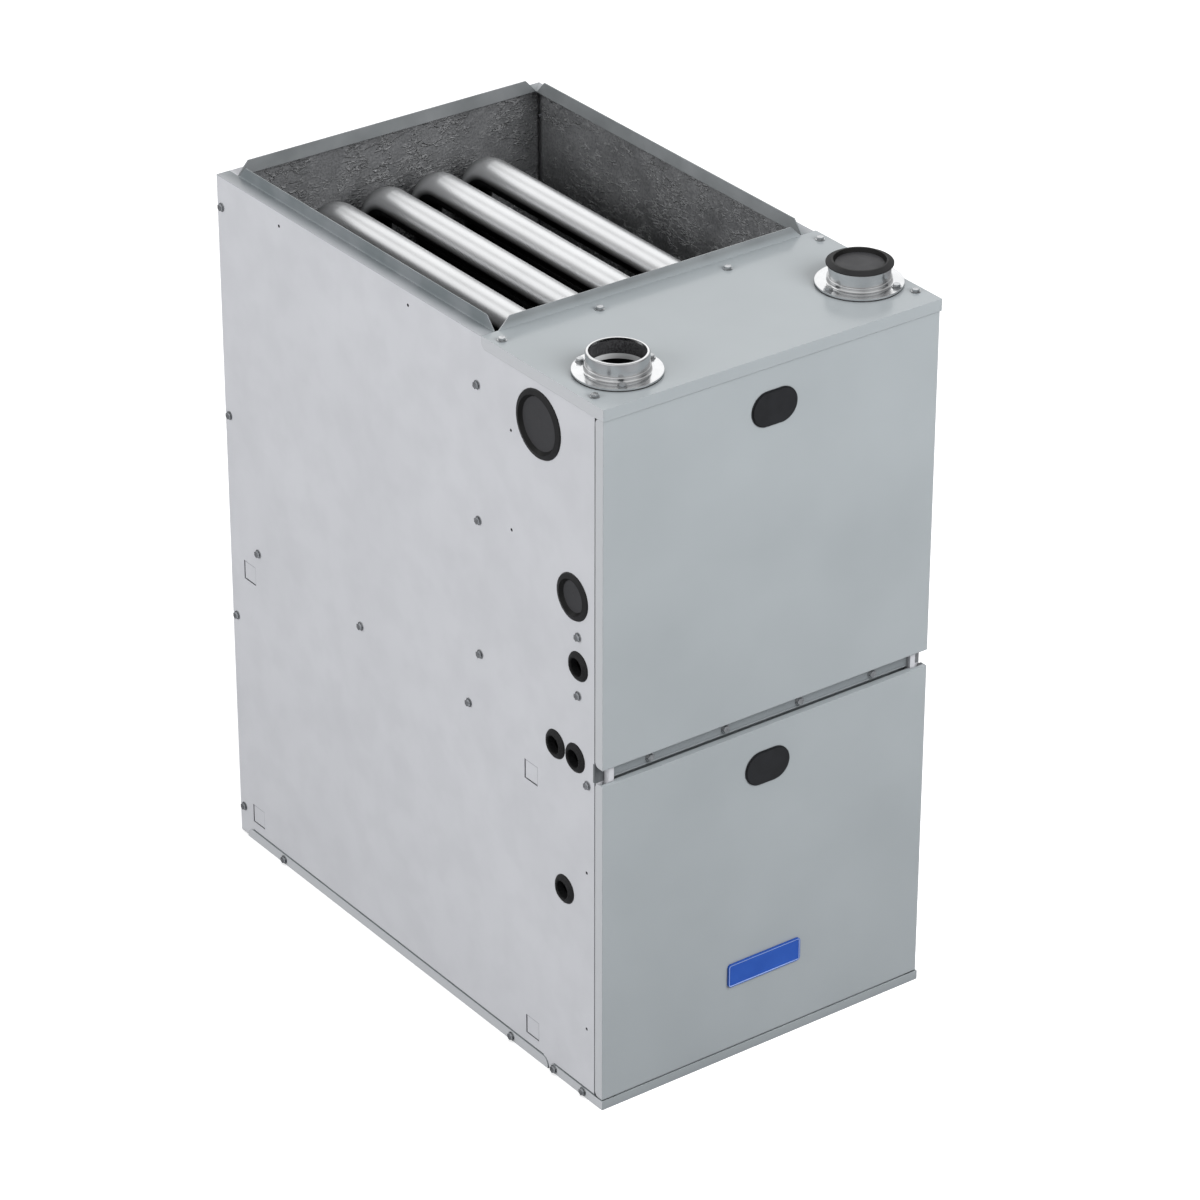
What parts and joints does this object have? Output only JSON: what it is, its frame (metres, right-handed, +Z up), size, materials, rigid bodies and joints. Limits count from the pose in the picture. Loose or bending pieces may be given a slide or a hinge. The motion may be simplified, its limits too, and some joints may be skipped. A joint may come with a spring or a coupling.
{
  "type": "forced air gas furnace",
  "caption": "Upflow condensing gas furnace cabinet with two lift-off doors, serpentine tube heat exchanger, draft inducer and blower.",
  "frame": {"origin": "centre of the footprint, on the floor plane", "axes": "+Z up through the duct opening, -Y out of the doors, +X to the right when facing the doors"},
  "size_m": [0.4518, 0.7278, 0.8834],
  "materials": {
    "cabinet_paint": "satin light grey powder coat",
    "cap_paint": "satin grey prepainted steel",
    "door_paint": "satin grey powder coat",
    "galvanised": "galvanised steel",
    "aluminised": "aluminised steel tube",
    "stainless": "stainless steel",
    "fin_aluminium": "bare aluminium fin stock",
    "zinc": "bright zinc plate",
    "steel_shaft": "ground steel",
    "cast_aluminium": "die cast",
    "black_iron": "black iron pipe",
    "motor_dark": "dark grey enamel",
    "rubber_black": "matt black rubber",
    "plastic_black": "moulded black plastic",
    "sight_plastic": "smoked moulded plastic",
    "phenolic": "moulded phenolic",
    "button_red": "red moulded button",
    "ceramic": "white ceramic and nylon",
    "board_green": "coated circuit board",
    "badge_blue": "blue printed plate with bright edge",
    "foil": "glass fibre blanket with a dull foil face"
  },
  "bodies": {
    "cabinet": {"left_side_panel": "cabinet_paint", "right_side_panel": "cabinet_paint", "back_panel": "cabinet_paint", "top_cap": "cap_paint", "base_rail": "cap_paint", "bottom_panel": "cap_paint", "blower_deck": "galvanised", "deck_front_rail": "cap_paint", "vestibule_panel": "galvanised", "duct_liners": "foil", "intake_collar": "zinc", "vent_collar": "zinc", "collar_seals": "rubber_black", "vent_pipe": "plastic_black", "side_plugs": "plastic_black", "side_grommets": "rubber_black", "hex_screws": "zinc", "heat_exchanger_tube_1": "aluminised", "heat_exchanger_tube_2": "aluminised", "heat_exchanger_tube_3": "aluminised", "heat_exchanger_tube_4": "aluminised", "rear_collector_box": "aluminised", "secondary_coil": "stainless", "coil_tube_sheets": "stainless", "coil_fins": "fin_aluminium", "condensate_header": "plastic_black", "burners": "aluminised", "burner_bracket": "galvanised", "gas_manifold": "black_iron", "gas_valve": "cast_aluminium", "igniter": "ceramic", "flame_sensor": "ceramic", "rollout_switches": "phenolic", "limit_switch": "phenolic", "inducer_housing": "plastic_black", "inducer_motor": "motor_dark", "pressure_switches": "phenolic", "pressure_hoses": "rubber_black", "condensate_trap": "plastic_black", "drain_hose": "rubber_black", "blower_housing": "galvanised", "blower_motor": "motor_dark", "motor_mount": "galvanised", "control_board": "board_green", "transformer": "motor_dark", "door_switch": "phenolic"},
    "blower_rotor": {"blower_wheel": "galvanised", "blower_shaft": "steel_shaft"},
    "inducer_rotor": {"inducer_wheel": "plastic_black"},
    "vent_plug_body": {"vent_plug": "plastic_black"},
    "gas_knob": {"gas_valve_knob": "plastic_black"},
    "reset_left": {"rollout_reset_left": "button_red"},
    "reset_right": {"rollout_reset_right": "button_red"},
    "plunger": {"door_switch_plunger": "ceramic"},
    "upper_door_body": {"upper_door": "door_paint", "upper_sight_glass": "sight_plastic"},
    "lower_door_body": {"lower_door": "door_paint", "lower_sight_glass": "sight_plastic", "badge_plate": "badge_blue", "lower_door_liner": "foil"}
  },
  "joints": [
    {"name": "blower_spin", "type": "hinge", "parent": "cabinet", "child": "blower_rotor", "pos_m": [0.03, 0.02, 0.19], "axis": [1, 0, 0], "continuous": true},
    {"name": "inducer_spin", "type": "hinge", "parent": "cabinet", "child": "inducer_rotor", "pos_m": [0.118, -0.2251, 0.55498], "axis": [0, 1, 0], "continuous": true},
    {"name": "vent_plug_lift", "type": "slide", "parent": "cabinet", "child": "vent_plug_body", "axis": [0, 0, 1], "range_m": [0, 0.06]},
    {"name": "gas_knob_turn", "type": "hinge", "parent": "cabinet", "child": "gas_knob", "pos_m": [-0.0476, -0.34, 0.62184], "axis": [0, -1, 0], "range_deg": [0, 90]},
    {"name": "reset_left_press", "type": "slide", "parent": "cabinet", "child": "reset_left", "axis": [0, 1, 0], "range_m": [0, 0.0015], "stiffness_N_per_m": 200},
    {"name": "reset_right_press", "type": "slide", "parent": "cabinet", "child": "reset_right", "axis": [0, 1, 0], "range_m": [0, 0.0015], "stiffness_N_per_m": 200},
    {"name": "door_switch_travel", "type": "slide", "parent": "cabinet", "child": "plunger", "axis": [0, -1, 0], "range_m": [0, 0.006]},
    {"name": "upper_door_lift_off", "type": "slide", "parent": "cabinet", "child": "upper_door_body", "axis": [0, -1, 0], "range_m": [0, 0.35]},
    {"name": "lower_door_lift_off", "type": "slide", "parent": "cabinet", "child": "lower_door_body", "axis": [0, -1, 0], "range_m": [0, 0.35]}
  ],
  "couplings": [
    {"joint": "door_switch_travel", "follows": "lower_door_lift_off", "ratio": 0.017143}
  ]
}
